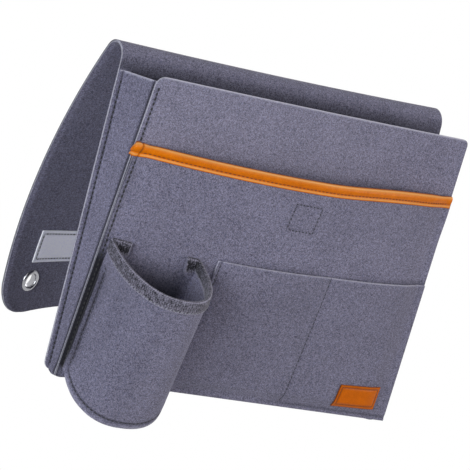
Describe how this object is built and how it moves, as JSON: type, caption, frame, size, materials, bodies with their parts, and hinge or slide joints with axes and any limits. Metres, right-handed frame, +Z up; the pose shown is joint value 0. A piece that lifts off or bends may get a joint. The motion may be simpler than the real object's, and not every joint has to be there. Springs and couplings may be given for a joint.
{
  "type": "felt armrest organizer",
  "caption": "Wedge-shaped felt pouch that hangs from a flap thrown over an armrest, with a bound front pocket, a divided low pocket and a cup holder.",
  "frame": {"origin": "point on the back panel's rear face, on its upright middle line, 175 mm above the panels' bottom edge", "axes": "+X to the right seen from the front, +Y out of the back panel's rear face towards the armrest, +Z up"},
  "size_m": [0.32, 0.2506, 0.2869],
  "materials": {
    "felt": "heathered blue-grey pressed felt, matt, with fine loose fibres",
    "orange_leather": "grained orange leather-like binding with a satin sheen",
    "woven_tape": "dark grey ribbed woven binding tape",
    "white_fastener": "off-white hook-and-loop tape, matt",
    "bright_metal": "bright plated metal"
  },
  "bodies": {
    "pouch": {"back_panel": "felt", "flap_bend": "felt", "gusset_left": "felt", "gusset_right": "felt", "bottom_strip": "felt", "front_panel": "felt", "front_pocket_panel": "felt", "lower_pocket_panel": "felt", "cup_wall": "felt", "cup_base": "felt", "pocket_trim": "orange_leather", "leather_patch": "orange_leather", "cup_binding_tape": "woven_tape", "back_fastener_strip": "white_fastener", "closure_hook_square": "white_fastener", "closure_loop_square": "white_fastener"},
    "flap": {"flap": "felt", "flap_fastener_strip": "white_fastener", "eyelet_left": "bright_metal", "eyelet_right": "bright_metal", "eyelet_washer_left": "bright_metal", "eyelet_washer_right": "bright_metal"}
  },
  "joints": [
    {"name": "flap_hinge", "type": "hinge", "parent": "pouch", "child": "flap", "pos_m": [0, 0.0082, 0.0845], "axis": [1, 0, 0], "range_deg": [-18, 140], "deforming": ["flap_bend"]}
  ]
}
